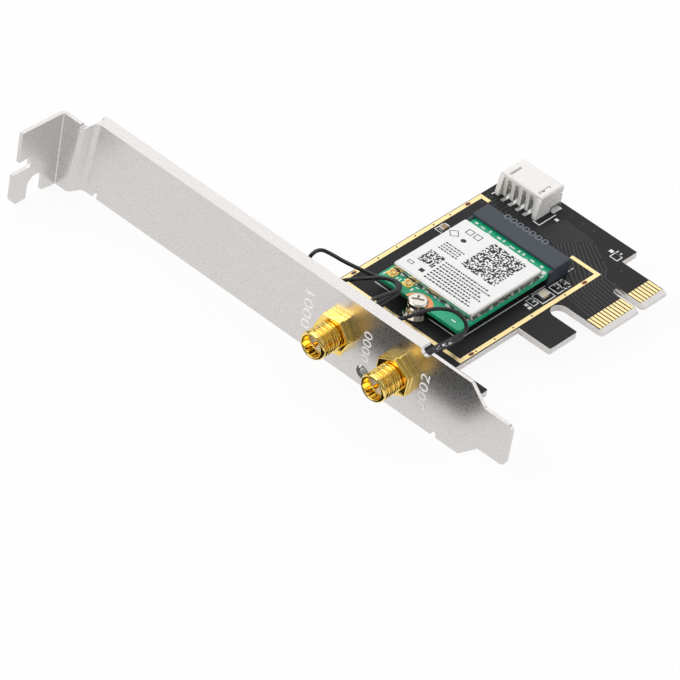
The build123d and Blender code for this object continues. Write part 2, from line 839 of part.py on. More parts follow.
with BuildPart() as header_tabs:
    for x0, x1 in ((header_left - tab_sheet, header_left), (header_right, header_right + tab_sheet)):
        box(x0, x1, tab_start, tab_end, 0.0, 1.6)
    box(header_left - 1.0, header_left - tab_sheet, tab_start, tab_end, 0.0, foot_height)
    box(header_right + tab_sheet, header_right + 1.0, tab_start, tab_end, 0.0, foot_height)
save(header_tabs, "header_tabs")


# Small parts soldered to the board: body with two metal ends
def chip(x, y, long, wide, tall, along_y):
    half_l = long / 2
    half_w = wide / 2
    with BuildPart() as body:
        if along_y:
            box(x - half_w, x + half_w, y - half_l + 0.3, y + half_l - 0.3, 0.02, tall)
        else:
            box(x - half_l + 0.3, x + half_l - 0.3, y - half_w, y + half_w, 0.02, tall)
    with BuildPart() as ends:
        for side in (-1, 1):
            centre = side * (half_l - 0.15)
            if along_y:
                box(x - half_w, x + half_w, y + centre - 0.15, y + centre + 0.15, 0, tall)
            else:
                box(x + centre - 0.15, x + centre + 0.15, y - half_w, y + half_w, 0, tall)
    return body, ends


capacitor_body, capacitor_ends = chip(board_left + 3.0, edge_near - 1.3, 2.0, 1.25, 0.85, True)
save(capacitor_body, "capacitor_body")
save(capacitor_ends, "capacitor_ends")
fuse_body, fuse_ends = chip(board_right - 3.4, edge_near - 1.1, 2.4, 1.6, 0.75, True)
save(fuse_body, "fuse_body")
save(fuse_ends, "fuse_ends")

beside_socket = socket_right + chip_gap
beside_module = module_right + chip_gap - 0.2
places = [(beside_socket, edge_near + 2.9), (beside_socket, edge_near + 5.1)]
places += [(beside_module, edge_near - 4.4), (board_right - 2.1, edge_far + 1.3)]
bodies = [chip(x, y, 1.3, 0.7, 0.4, False) for x, y in places]
with BuildPart() as resistor_bodies:
    for body, ends in bodies:
        add(body.part)
save(resistor_bodies, "resistor_bodies")
with BuildPart() as resistor_ends:
    for body, ends in bodies:
        add(ends.part)
save(resistor_ends, "resistor_ends")

# Status light under the board, facing out through the plate
with BuildPart() as status_light:
    back = board_near - 0.1
    half = light_body / 2
    box(light_x - half, light_x + half, back, board_near + 2.2, -board - 2.3, -board)
    with Locations((light_x, (light_front + back) / 2, light_z)):
        Cylinder(light_radius, back - light_front, rotation=(90, 0, 0))
    front = status_light.edges().filter_by(lambda e: e.center().Y < 0.3)
    fillet(front, 0.5)
save(status_light, "status_light")
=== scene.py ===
# %% [markdown]
# # A short PCI Express wireless card
# This lesson dresses a finished CAD model. The card is a bent steel bracket with
# two gold aerial jacks, a black circuit board, a green radio module in a socket,
# a white header and two thin black leads. The CAD solids are loaded first and
# never moved. Round, threaded and soft pieces get a finer mesh in their place.

# %% Load the model
import json
import math
import bmesh
import bpy
import numpy as np
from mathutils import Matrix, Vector


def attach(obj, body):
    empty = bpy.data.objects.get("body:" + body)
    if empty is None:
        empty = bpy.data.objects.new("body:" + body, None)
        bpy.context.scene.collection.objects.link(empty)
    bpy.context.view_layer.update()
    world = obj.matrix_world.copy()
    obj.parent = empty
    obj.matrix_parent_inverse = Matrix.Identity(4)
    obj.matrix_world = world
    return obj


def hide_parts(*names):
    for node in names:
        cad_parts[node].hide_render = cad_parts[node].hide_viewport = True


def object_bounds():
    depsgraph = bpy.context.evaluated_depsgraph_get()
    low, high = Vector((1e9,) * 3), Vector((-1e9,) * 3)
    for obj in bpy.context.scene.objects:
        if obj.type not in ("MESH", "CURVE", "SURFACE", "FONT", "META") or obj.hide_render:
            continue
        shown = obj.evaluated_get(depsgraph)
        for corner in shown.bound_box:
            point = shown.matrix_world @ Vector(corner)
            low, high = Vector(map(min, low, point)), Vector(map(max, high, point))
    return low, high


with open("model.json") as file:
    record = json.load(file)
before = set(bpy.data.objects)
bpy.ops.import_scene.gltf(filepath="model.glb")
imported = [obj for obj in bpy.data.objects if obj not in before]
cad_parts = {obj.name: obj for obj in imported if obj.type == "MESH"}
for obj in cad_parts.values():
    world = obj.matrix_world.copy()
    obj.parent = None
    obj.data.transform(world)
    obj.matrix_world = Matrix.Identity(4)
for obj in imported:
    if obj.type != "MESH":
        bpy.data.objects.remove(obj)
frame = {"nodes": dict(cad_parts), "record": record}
cad_low, cad_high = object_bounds()
nodes = frame["nodes"]
print(len(nodes), "solid nodes, box", [round(1000 * v, 1) for v in (*cad_low, *cad_high)])

# %% [markdown]
# The card's drawing counts from the bracket's outer face and the top of the
# board, in millimetres. The model's origin is the middle of the screw slot. One
# shift and one factor take a drawing size into the scene.

# %% From drawing to scene
SLOT = np.array([0.0, 9.45, 2.85])


def card(points):
    """Drawing points in millimetres, shifted by the slot's place, then in metres."""
    return (np.asarray(points, dtype=float) + SLOT) / 1000


print("top of the board at z =", round(card([0, 0, 0])[2], 5))

# %% [markdown]
# Colours are written as sRGB hex values, as they would be picked from a sample
# card, and turned to linear light once, here. Every shader node is added by one
# function that takes its settings and its links.

# %% Colour and node helpers


def linear(code):
    """sRGB hex to linear: below 0.04045 divide by 12.92, above it a 2.4 power."""
    c = np.array([int(code[i:i + 2], 16) for i in (1, 3, 5)]) / 255
    c = np.where(c <= 0.04045, c / 12.92, ((c + 0.055) / 1.055) ** 2.4)
    return (*c.tolist(), 1.0)


def add(tree, kind, settings=(), **inputs):
    """Adds a node, sets its properties, and sets or links each named input."""
    node = tree.nodes.new(kind)
    for key, value in dict(settings).items():
        setattr(node, key, value)
    for key, value in inputs.items():
        by_number = key[0] == "_"
        socket = node.inputs[int(key[1:]) if by_number else key.replace("_", " ")]
        if isinstance(value, bpy.types.NodeSocket):
            tree.links.new(value, socket)
        else:
            socket.default_value = value
    return node


def finish(name, **inputs):
    """A material whose shader starts with constant sockets; returns it and its tree."""
    material = bpy.data.materials.new(name)
    material.use_nodes = True
    tree = material.node_tree
    shader = tree.nodes["Principled BSDF"]
    for key, value in inputs.items():
        shader.inputs[key.replace("_", " ")].default_value = value
    return material, tree, shader


def grain(tree, per_mm, detail=2.0):
    """Noise on Object coordinates with so many grains to a millimetre."""
    where = add(tree, "ShaderNodeTexCoord").outputs["Object"]
    noise = add(tree, "ShaderNodeTexNoise", Vector=where, Scale=per_mm * 1000, Detail=detail)
    return noise.outputs["Fac"]


def vary(tree, shader, fac, low, high, rough_low, rough_high):
    """Two colours and two roughnesses mixed by one pattern."""
    ramp = add(tree, "ShaderNodeValToRGB", Fac=fac)
    ramp.color_ramp.elements[0].position = 0.35
    ramp.color_ramp.elements[1].position = 0.65
    ramp.color_ramp.elements[0].color = linear(low)
    ramp.color_ramp.elements[1].color = linear(high)
    tree.links.new(ramp.outputs["Color"], shader.inputs["Base Color"])
    span = add(tree, "ShaderNodeMapRange", _0=fac, _1=0.3, _2=0.7, _3=rough_low, _4=rough_high)
    tree.links.new(span.outputs["Result"], shader.inputs["Roughness"])


def emboss(tree, shader, fac, strength, height_mm):
    """A bump from a pattern, with its real height."""
    bump = add(tree, "ShaderNodeBump", Strength=strength, Distance=height_mm / 1000, Height=fac)
    tree.links.new(bump.outputs["Normal"], shader.inputs["Normal"])


# %% [markdown]
# The camera comes first, because everything is judged through it. It stands about
# a metre away with a long lens, to the right of the card, in front of the bracket
# and above it, so parallel edges stay nearly parallel.

# %% Camera
lens = bpy.data.cameras.new("view")
lens.lens = 272.97
lens.sensor_width = 36.0
lens.shift_x = 1.0 / 680
lens.shift_y = -0.35 / 680
lens.clip_start = 0.05
lens.clip_end = 10
camera = bpy.data.objects.new("view", lens)
bpy.context.scene.collection.objects.link(camera)
camera.location = (0.52983, -0.62720, 0.65747)
camera.rotation_mode = "QUATERNION"
camera.rotation_quaternion = (0.834121, 0.413384, 0.092163, 0.353358)
bpy.context.scene.camera = camera
print("camera distance", round(camera.location.length, 3), "m")

# %% [markdown]
# The floor is a white sheet. To the camera, to metal and to clear plastic it
# glows at about the brightness of white paper, so the card stands on a clean
# ground. A part of its ordinary shading stays, because a floor that only glows
# takes no shadow, and without a soft shadow the card would seem to float.

# %% Floor
PAPER_GLOW = 0.93
floor_z = cad_low.z - 0.0001
bpy.ops.mesh.primitive_plane_add(size=6, location=(0.06, 0.04, floor_z))
floor = bpy.context.object
floor.name = "floor"
paper, tree, shader = finish("white sheet floor", Base_Color=linear("#F4F4F4"), Roughness=0.9)
path = add(tree, "ShaderNodeLightPath")
seen = path.outputs["Is Camera Ray"]
for ray in ("Is Transmission Ray", "Is Glossy Ray"):
    more = add(tree, "ShaderNodeMath", {"operation": "MAXIMUM"}, _0=seen, _1=path.outputs[ray])
    seen = more.outputs[0]
glow = add(tree, "ShaderNodeEmission", Color=(1, 1, 1, 1), Strength=1.0)
share = add(tree, "ShaderNodeMath", {"operation": "MULTIPLY"}, _0=seen, _1=PAPER_GLOW)
mixed = add(
    tree, "ShaderNodeMixShader",
    _0=share.outputs[0], _1=shader.outputs[0], _2=glow.outputs[0],
)
tree.links.new(mixed.outputs[0], tree.nodes["Material Output"].inputs["Surface"])
floor.data.materials.append(paper)
print("floor at", round(floor_z, 5))

# %% [markdown]
# The room round the table is grey, a little lighter overhead. Polished gold shows
# its shape only where it has light and dark to mirror, so the walls aren't white.

# %% The room
world = bpy.data.worlds.new("studio")
bpy.context.scene.world = world
world.use_nodes = True
tree = world.node_tree
sky = tree.nodes["Background"]
where = add(tree, "ShaderNodeTexCoord").outputs["Generated"]
parts = add(tree, "ShaderNodeSeparateXYZ", Vector=where)
band = add(tree, "ShaderNodeValToRGB", Fac=parts.outputs["Z"])
band.color_ramp.elements[0].color = (0.16, 0.16, 0.165, 1)
band.color_ramp.elements[1].color = (0.55, 0.55, 0.56, 1)
band.color_ramp.elements[1].position = 0.9
tree.links.new(band.outputs["Color"], sky.inputs["Color"])
sky.inputs["Strength"].default_value = 1.0
print("room grey from", band.color_ramp.elements[0].color[0], "to",
      band.color_ramp.elements[1].color[0])

# %% [markdown]
# Three softboxes light the card. The large one behind and above lights everything
# that faces up, and is what the bracket's top lip mirrors. The front one lights
# the jacks and the plate's side, and the right one the cut ends. Their size sets
# how bright they look in metal, their power how bright paper and plastic become.

# %% Lamps


def lamp(name, place, aim, size, watts):
    """A square soft light at place, turned so that it faces aim."""
    data = bpy.data.lights.new(name, "AREA")
    data.shape = "SQUARE"
    data.size = size
    data.energy = watts
    thing = bpy.data.objects.new(name, data)
    bpy.context.scene.collection.objects.link(thing)
    thing.location = place
    way = np.array(aim) - np.array(place)
    thing.rotation_mode = "QUATERNION"
    thing.rotation_quaternion = Vector(way).to_track_quat("-Z", "Y")
    return thing


MIDDLE = (0.06, 0.03, 0)
lamp("back softbox", (-0.42, 0.66, 0.72), MIDDLE, 1.2, 4.0)
lamp("front softbox", (-0.40, -0.61, 0.61), MIDDLE, 0.9, 6.0)
lamp("right softbox", (0.85, 0.60, 0.30), MIDDLE, 1.0, 3.0)
print("three softboxes")

# %% [markdown]
# Photographers lay black felt where a shiny thing should turn dark. A felt flag
# lies on the floor in front of the bracket. Only reflections see it, and it gives
# the steel between and beyond the jacks its dark patch.

# %% Black flag
flag_x, flag_y = card([85, -34, 0])[:2]
bpy.ops.mesh.primitive_plane_add(size=1, location=(flag_x, flag_y, floor_z + 0.0002))
flag = bpy.context.object
flag.name = "black flag"
flag.scale = (0.036, 0.050, 1)
dull, tree, shader = finish("black felt flag", Base_Color=linear("#0C0C0C"), Roughness=1.0)
flag.data.materials.append(dull)
flag.visible_camera = False
flag.visible_shadow = False
flag.visible_diffuse = False

scene = bpy.context.scene
scene.view_settings.view_transform = "Standard"
print("flag at", round(flag_x, 4), round(flag_y, 4))

# %% [markdown]
# Steel brackets are stamped, bent and nickel plated. The plating is satin: it
# mirrors only a few millimetres deep, and a fine sandy grain breaks up the
# reflection. The grain is drawn a little coarser than the real one, to show.

# %% Metals
# A cool, soft mirror with a sandy sparkle.
satin_nickel, tree, shader = finish("satin nickel plating on steel", Metallic=1.0)
fine = grain(tree, 4.0, 2.0)
vary(tree, shader, fine, "#CBC8C6", "#E0DDDB", 0.24, 0.36)
emboss(tree, shader, fine, 0.22, 0.02)

# A warm, nearly sharp mirror with crisp streaks of light.
gold_plate, tree, shader = finish("polished gold plating on brass", Metallic=1.0)
fine = grain(tree, 1.2)
vary(tree, shader, fine, "#F4D067", "#FDDE86", 0.07, 0.14)

# Thin chemical gold over rolled copper: pale, silky, with no sharp reflection.
pale_gold, tree, shader = finish("immersion gold on copper", Metallic=1.0)
fine = grain(tree, 4.0)
vary(tree, shader, fine, "#F6DA98", "#FFEBB8", 0.33, 0.48)

# Grey-white and slightly blurred, as dipped contacts and pressed cans are.
tin, tree, shader = finish("matt tin plating", Metallic=1.0)
fine = grain(tree, 5.0)
vary(tree, shader, fine, "#C4C4C2", "#DADAD8", 0.3, 0.45)

# Barrel-plated screws: a yellowish, clear mirror.
bright_nickel, tree, shader = finish("bright nickel plating", Metallic=1.0)
fine = grain(tree, 2.0)
vary(tree, shader, fine, "#CFC9BF", "#DEDAD2", 0.14, 0.24)

# Copper left free of mask: salmon pink and dull.
bare_copper, tree, shader = finish("bare copper pad", Metallic=1.0)
fine = grain(tree, 3.0)
vary(tree, shader, fine, "#E0925F", "#EBA878", 0.35, 0.5)
print("metals ready")

# %% [markdown]
# The board is glass fibre under a matt black mask, a thin skin that follows the
# copper below it. Its sawn edges show the paler laminate. The radio module wears
# a glossier green mask. Housings are moulded plastic with a slight orange peel.

# %% Boards and plastics
# Nearly black from above, pale where the laminate is cut or ground.
black_mask, tree, shader = finish("matt black solder mask on laminate")
fine = grain(tree, 6.0, 4.0)
ramp = add(tree, "ShaderNodeValToRGB", Fac=fine)
ramp.color_ramp.elements[0].color = linear("#0C0C0E")
ramp.color_ramp.elements[1].color = linear("#18171A")
normal = add(tree, "ShaderNodeNewGeometry").outputs["True Normal"]
side = add(tree, "ShaderNodeSeparateXYZ", Vector=normal)
flat = add(tree, "ShaderNodeMath", {"operation": "ABSOLUTE"}, _0=side.outputs["Z"])
edge = add(tree, "ShaderNodeMath", {"operation": "LESS_THAN"}, _0=flat.outputs[0], _1=0.5)
where = add(tree, "ShaderNodeTexCoord").outputs["Object"]
spot = add(tree, "ShaderNodeSeparateXYZ", Vector=where)
bevel_x = 0.1059  # past here the edge connector's tips are ground bare
bare = add(tree, "ShaderNodeMath", {"operation": "GREATER_THAN"}, _0=spot.outputs["X"], _1=bevel_x)
cut = add(tree, "ShaderNodeMath", {"operation": "MAXIMUM"}, _0=edge.outputs[0], _1=bare.outputs[0])
both = add(tree, "ShaderNodeMix", {"data_type": "RGBA"}, _0=cut.outputs[0])
tree.links.new(ramp.outputs["Color"], both.inputs[6])
both.inputs[7].default_value = linear("#ECE9E6")
tree.links.new(both.outputs[2], shader.inputs["Base Color"])
shader.inputs["Roughness"].default_value = 0.7
emboss(tree, shader, fine, 0.15, 0.02)

# A saturated green with a soft gloss on top.
green_mask, tree, shader = finish("green solder mask", Coat_Weight=0.1, Coat_Roughness=0.2)
fine = grain(tree, 2.5)
vary(tree, shader, fine, "#06A272", "#12B888", 0.4, 0.5)

# A blue-grey that stays matt and breaks up faintly.
slate_plastic, tree, shader = finish("moulded slate liquid-crystal polymer")
fine = grain(tree, 8.0)
vary(tree, shader, fine, "#2F3640", "#3C4550", 0.42, 0.58)
emboss(tree, shader, fine, 0.2, 0.01)

# Milky white: a little light passes in, so thin walls glow.
white_nylon, tree, shader = finish(
    "moulded white nylon", Subsurface_Weight=0.1, Subsurface_Radius=(0.0006, 0.0005, 0.0004),
)
fine = grain(tree, 4.0)
vary(tree, shader, fine, "#F3F0EB", "#FAF8F4", 0.35, 0.5)
emboss(tree, shader, fine, 0.1, 0.01)

# A creamy, waxy white inside the jacks.
fluoropolymer, tree, shader = finish("turned white fluoropolymer")
fine = grain(tree, 3.0)
vary(tree, shader, fine, "#E9E2D6", "#F4EFE6", 0.4, 0.55)

# Smooth black with one thin line of light along it.
jacket, tree, shader = finish("extruded black coaxial jacket", Coat_Weight=0.25, Coat_Roughness=0.2)
fine = grain(tree, 2.0)
vary(tree, shader, fine, "#141418", "#1D1D22", 0.3, 0.42)

# Black, softer and a little wrinkled from the heat.
shrink, tree, shader = finish("black shrink tube")
fine = grain(tree, 3.0)
vary(tree, shader, fine, "#17171B", "#222227", 0.38, 0.52)
emboss(tree, shader, fine, 0.3, 0.02)

# Bright paper white with a faint varnish.
label_stock, tree, shader = finish("smooth white label stock", Coat_Weight=0.2, Coat_Roughness=0.3)
fine = grain(tree, 6.0)
vary(tree, shader, fine, "#F1F1EF", "#F8F8F6", 0.4, 0.5)

# Chalky white, matt, the brightest thing on the board.
white_ink, tree, shader = finish("white screen-printed ink")
fine = grain(tree, 8.0)
vary(tree, shader, fine, "#F2F2F0", "#FFFFFF", 0.5, 0.65)

# Thermal print: deep grey rather than pure black.
black_ink, tree, shader = finish("black label ink")
fine = grain(tree, 8.0)
vary(tree, shader, fine, "#101010", "#1C1C1C", 0.4, 0.55)

# A dry brown block.
tan_ceramic, tree, shader = finish("fired tan ceramic")
fine = grain(tree, 6.0)
vary(tree, shader, fine, "#9A7B57", "#AC8C66", 0.4, 0.55)

# A small shiny black block.
dark_ceramic, tree, shader = finish("black glazed ceramic")
fine = grain(tree, 6.0)
vary(tree, shader, fine, "#1A1A1C", "#262628", 0.25, 0.4)

# Clear plastic that shows the light behind it as a soft grey spot.
clear_lens, tree, shader = finish("moulded clear light guide", Transmission_Weight=0.7, IOR=1.49)
fine = grain(tree, 3.0)
vary(tree, shader, fine, "#DDE2DE", "#EEF1EE", 0.08, 0.16)

finishes = {
    "bracket_steel": satin_nickel, "board_mask": black_mask, "gold_plate": pale_gold,
    "module_mask": green_mask, "copper": bare_copper, "shield_tin": tin,
    "label_paper": label_stock, "socket_plastic": slate_plastic, "tin": tin,
    "nickel": bright_nickel, "gold_bright": gold_plate, "insulator": fluoropolymer,
    "sleeve": shrink, "lead_jacket": jacket, "header_nylon": white_nylon,
    "ceramic_tan": tan_ceramic, "ceramic_dark": dark_ceramic, "light_lens": clear_lens,
}
print(len(finishes), "finishes for the record's slots")

# %% [markdown]
# The record says which slot each solid belongs to, so one loop gives every solid
# its finish. The fuse is the one exception: its ceramic is cream, not black.

# %% Finishes on the solids
for part in frame["record"]["subparts"]:
    mesh = nodes[part["node"]].data
    mesh.materials.clear()
    mesh.materials.append(finishes[part["material_slot"]])
# Glaze over cream ceramic: pale and smooth.
cream, tree, shader = finish("glazed cream ceramic")
fine = grain(tree, 6.0)
vary(tree, shader, fine, "#D8CBB0", "#E6DBC4", 0.3, 0.4)
nodes["fuse_body"].data.materials[0] = cream
print("finishes on", len(nodes), "nodes")

# %% [markdown]
# New pieces are surfaces worked out as whole arrays. Two builders do most of the
# work: one spins a profile round an axis, the other makes many blocks at once.
# Both give closed meshes whose faces are turned outwards at the end.

# %% Mesh builders


def piece(name, points, faces, slot, material=None, sharp=30):
    """Drawing points and faces become a mesh at the origin that rides on the card."""
    mesh = bpy.data.meshes.new(name)
    mesh.from_pydata(card(points).tolist(), [], [list(map(int, f)) for f in faces])
    form = bmesh.new()
    form.from_mesh(mesh)
    bmesh.ops.recalc_face_normals(form, faces=form.faces)
    form.to_mesh(mesh)
    form.free()
    mesh.polygons.foreach_set("use_smooth", np.ones(len(mesh.polygons), dtype=bool))
    mesh.set_sharp_from_angle(angle=math.radians(sharp))
    mesh.materials.append(material or finishes[slot])
    thing = bpy.data.objects.new(name, mesh)
    bpy.context.scene.collection.objects.link(thing)
    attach(thing, "root")
    return thing


def spin(profile, steps=64):
    """Rows (radius, height) travel round the axis: (r cos t, r sin t, h).

    A row of radius 0 at either end becomes one pole; with no pole the rows form a ring.
    """
    rows = np.asarray(profile, dtype=float)
    t = np.linspace(0, 2 * np.pi, steps, endpoint=False)
    poles = rows[:, 0] < 1e-9
    body = rows[~poles]
    n = len(body)
    x = body[:, 0, None] * np.cos(t)
    y = body[:, 0, None] * np.sin(t)
    z = np.repeat(body[:, 1, None], steps, 1)
    points = np.stack([x, y, z], -1).reshape(-1, 3)
    ring = not poles.any()
    i = np.arange(n if ring else n - 1)[:, None]
    j = np.arange(steps)[None, :]
    k, l = (i + 1) % n, (j + 1) % steps
    quads = np.stack([i * steps + j, i * steps + l, k * steps + l, k * steps + j], -1)
    faces = quads.reshape(-1, 4).tolist()
    if not ring:
        ends = np.array([[0, 0, rows[0, 1]], [0, 0, rows[-1, 1]]])
        points = np.vstack([points, ends])
        a, b = n * steps, n * steps + 1
        j, l = np.arange(steps), (np.arange(steps) + 1) % steps
        faces += np.stack([np.full(steps, a), l, j], -1).tolist()
        last = (n - 1) * steps
        faces += np.stack([np.full(steps, b), last + j, last + l], -1).tolist()
    return points, faces


def along_y(points, x, z):
    """Turns a spun form so that its axis lies along Y through (x, z)."""
    return np.stack([points[:, 0] + x, points[:, 2], points[:, 1] + z], -1)


def blocks(rows):
    """Each row x0, x1, y0, y1, z0, z1 becomes a closed block of six faces."""
    r = np.atleast_2d(np.asarray(rows, dtype=float))
    pick = np.array([[a, b, c] for c in (4, 5) for b in (2, 3) for a in (0, 1)])
    points = r[:, pick].reshape(-1, 3)
    cube = np.array([
        [0, 2, 3, 1], [4, 5, 7, 6], [0, 1, 5, 4], [2, 6, 7, 3], [0, 4, 6, 2], [1, 3, 7, 5],
    ])
    faces = (np.arange(len(r))[:, None, None] * 8 + cube).reshape(-1, 4)
    return points, faces


def crisp(node, width):
    """A merged copy of a solid, its flat faces rejoined, its edges rounded over width mm."""
    form = bmesh.new()
    form.from_mesh(nodes[node].data)
    bmesh.ops.remove_doubles(form, verts=form.verts, dist=1e-6)
    bmesh.ops.dissolve_limit(form, angle_limit=math.radians(1), verts=form.verts, edges=form.edges)
    mesh = bpy.data.meshes.new(node + "_edges")
    form.to_mesh(mesh)
    form.free()
    mesh.polygons.foreach_set("use_smooth", np.ones(len(mesh.polygons), dtype=bool))
    mesh.set_sharp_from_angle(angle=math.radians(35))
    mesh.materials.append(nodes[node].data.materials[0])
    thing = bpy.data.objects.new(node + "_edges", mesh)
    bpy.context.scene.collection.objects.link(thing)
    soft = thing.modifiers.new("broken edges", "BEVEL")
    soft.width = width / 1000
    soft.segments = 2
    soft.limit_method = "ANGLE"
    soft.angle_limit = math.radians(24)
    soft.harden_normals = True
    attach(thing, "root")
    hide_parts(node)
    return thing


print("builders ready")

# %% [markdown]
# No real edge is perfectly sharp. The nuts are cut from bar and tumbled, the
# socket and the header leave their moulds with small radii, and the can's corners
# are pressed. A narrow rounding on each of them catches a line of light.

# %% Broken edges
for i in (1, 2):
    crisp(f"jack_{i}_inner_nut", 0.14)
    crisp(f"jack_{i}_outer_nut", 0.14)
crisp("socket_housing", 0.1)
crisp("header_housing", 0.1)
crisp("module_shield", 0.08)
crisp("main_board", 0.05)
print("edges broken on 8 pieces")

# %% [markdown]
# The leads are thin coaxial cable, 0.81 mm thick. Each lies on one smooth spline
# whose control points are the route of its solid: out of the crimp, round a tight
# curl and back behind the bracket's lip, where a small plug hangs on its end.

# %% Leads
JACKS = ((74.7, 3.0), (90.8, 3.0))
route_1 = [
    (74.7, 8.1, 3.0), (74.7, 12.9, 3.0), (74.9, 18.45, 3.65), (73.3, 19.4, 4.3), (71.6, 18.1, 4.75),
    (69.6, 16.5, 4.8), (66.8, 14.6, 5.9), (64.7, 12.0, 7.7), (63.0, 9.3, 10.1), (61.0, 7.9, 10.9),
    (60.0, 6.3, 9.3), (60.2, 5.2, 6.4), (61.9, 4.5, 4.0), (64.4, 4.4, 2.6), (67.2, 4.6, 2.1),
]
route_2 = [
    (90.8, 8.1, 3.0), (90.9, 11.5, 3.0), (91.2, 15.2, 2.85), (91.4, 19.3, 2.9), (90.9, 20.3, 4.7),
    (88.6, 19.3, 6.9), (86.0, 17.1, 7.3), (84.5, 13.7, 7.4), (83.3, 10.0, 6.7), (81.3, 7.3, 5.9),
    (78.2, 6.6, 5.5), (75.5, 7.5, 5.5), (74.1, 10.0, 5.2), (74.6, 12.9, 5.1), (75.4, 15.7, 5.2),
    (74.9, 17.5, 5.4), (72.9, 17.4, 5.8), (70.7, 15.5, 5.9), (68.1, 13.5, 4.8), (65.7, 11.0, 4.2),
    (64.1, 8.9, 3.4),
]


def strand(name, route, radius, slot):
    """A round tube on a quadratic spline with the route's points as its controls."""
    curve = bpy.data.curves.new(name, "CURVE")
    curve.dimensions = "3D"
    spline = curve.splines.new("NURBS")
    spline.points.add(len(route) - 1)
    ready = np.hstack([card(route), np.ones((len(route), 1))])
    spline.points.foreach_set("co", ready.ravel())
    spline.order_u = 3
    spline.use_endpoint_u = True
    curve.resolution_u = 10
    curve.bevel_depth = radius / 1000
    curve.bevel_resolution = 6
    curve.use_fill_caps = True
    curve.materials.append(finishes[slot])
    thing = bpy.data.objects.new(name, curve)
    bpy.context.scene.collection.objects.link(thing)
    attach(thing, "root")
    return thing


COAX, SLEEVE = 0.405, 0.85
lead_1 = strand("coax_lead_1", route_1, COAX, "lead_jacket")
lead_2 = strand("coax_lead_2", route_2, COAX, "lead_jacket")
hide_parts("lead_1")
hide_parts("lead_2")

route_a = [(74.7, 5.0, 3.0), (74.7, 12.9, 3.0), (74.87, 17.6, 3.55)]
route_b = [(90.8, 5.0, 3.0), (90.9, 11.5, 3.0), (91.2, 15.2, 2.85), (91.34, 18.1, 2.89)]
sleeve_1 = strand("shrink_sleeve_1", route_a, SLEEVE, "sleeve")
sleeve_2 = strand("shrink_sleeve_2", route_b, SLEEVE, "sleeve")
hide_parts("jack_1_sleeve")
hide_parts("jack_2_sleeve")
print("leads laid")

# %% [markdown]
# Each jack is turned from brass and gold plated. The outer thread is cut 0.7 mm
# apart, so its outline is a row of rounded ridges; a plain collar and a groove
# lead the mating nut on. Spinning that outline gives crisp, even highlights.

# %% Jack shells and pins


def shell_profile():
    """Ridges follow r = root + depth * the upper part of a cosine of y / pitch, up to the nut."""
    pitch, start, end = 0.7056, -6.62, -2.37
    root, depth = 2.74, 0.42
    y = np.linspace(start, end, 76)
    wave = 1 + np.cos(2 * np.pi * (y - start - 0.3) / pitch)
    ridge = root + depth * np.clip(wave * 0.6, 0, 1)
    front = [
        (2.4, -7.9), (2.5, -8.0), (2.76, -8.0), (3.14, -7.6), (3.175, -7.5),
        (3.175, -7.08), (3.1, -7.0), (2.72, -6.95), (2.72, -6.68),
    ]
    back = [
        (2.85, -2.35), (2.85, 0.86), (3.9, 0.86), (3.9, 2.86), (0.68, 2.86),
        (0.68, 8.0), (0.5, 8.0), (0.5, 1.86), (2.4, 1.46),
    ]
    return front + list(zip(ridge, y)) + back


for i, (x, z) in enumerate(JACKS, 1):
    points, faces = spin(shell_profile(), 96)
    shell = piece(f"threaded_shell_{i}", along_y(points, x, z), faces, "gold_bright", sharp=50)
    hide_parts(f"jack_{i}_shell")
    tip = [(0, -7.9), (0.24, -7.9), (0.36, -7.8), (0.46, -7.55), (0.46, 6.5), (0, 6.5)]
    points, faces = spin(tip, 32)
    pin = piece(f"centre_pin_{i}", along_y(points, x, z), faces, "gold_bright")
    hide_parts(f"jack_{i}_pin")
print("shell profile has", len(shell_profile()), "rows")

# %% [markdown]
# Printed and plated details are thin closed films. A ribbon follows a path of
# points at one width; a set of discs shares one round form. Each film stands two
# hundredths of a millimetre proud, about as thick as ink and solder mask.

# %% Films


def ribbon(path, width, low, high, closed=False):
    """Left and right edges are path +- width/2 along the mitred normal at each point."""
    p = np.asarray(path, dtype=float)
    step = np.roll(p, -1, 0) - p
    back = p - np.roll(p, 1, 0)
    if not closed:
        step[-1], back[0] = back[-1], step[0]
    unit = [v / np.linalg.norm(v, axis=1, keepdims=True) for v in (step, back)]
    mid = unit[0] + unit[1]
    mid /= np.linalg.norm(mid, axis=1, keepdims=True)
    normal = np.stack([-mid[:, 1], mid[:, 0]], -1)
    reach = width / 2 / np.clip((mid * unit[0]).sum(1, keepdims=True), 0.35, 1)
    left, right = p + normal * reach, p - normal * reach
    n = len(p)
    corners = ((left, low), (right, low), (right, high), (left, high))
    rows = [np.hstack([side, np.full((n, 1), z)]) for side, z in corners]
    points = np.stack(rows, 1).reshape(-1, 3)
    i = np.arange(n if closed else n - 1)[:, None]
    j = np.arange(4)[None, :]
    k, l = (i + 1) % n, (j + 1) % 4
    faces = np.stack([i * 4 + j, i * 4 + l, k * 4 + l, k * 4 + j], -1).reshape(-1, 4).tolist()
    if not closed:
        faces += [[0, 1, 2, 3], [4 * n - 1, 4 * n - 2, 4 * n - 3, 4 * n - 4]]
    return points, faces


def join(forms):
    """Several (points, faces) forms become one, each keeping its own faces."""
    start = np.cumsum([0] + [len(p) for p, f in forms])
    faces = [[v + a for v in face] for (p, f), a in zip(forms, start) for face in f]
    return np.vstack([p for p, f in forms]), faces


def disc(x, y, radius, low, high, steps=20, stretch=1.0):
    """A flat round film, stretched along Y where it stands for an oval."""
    points, faces = spin([(0, low), (radius, low), (radius, high), (0, high)], steps)
    return points * np.array([1, stretch, 1]) + np.array([x, y, 0]), faces


print("films ready")

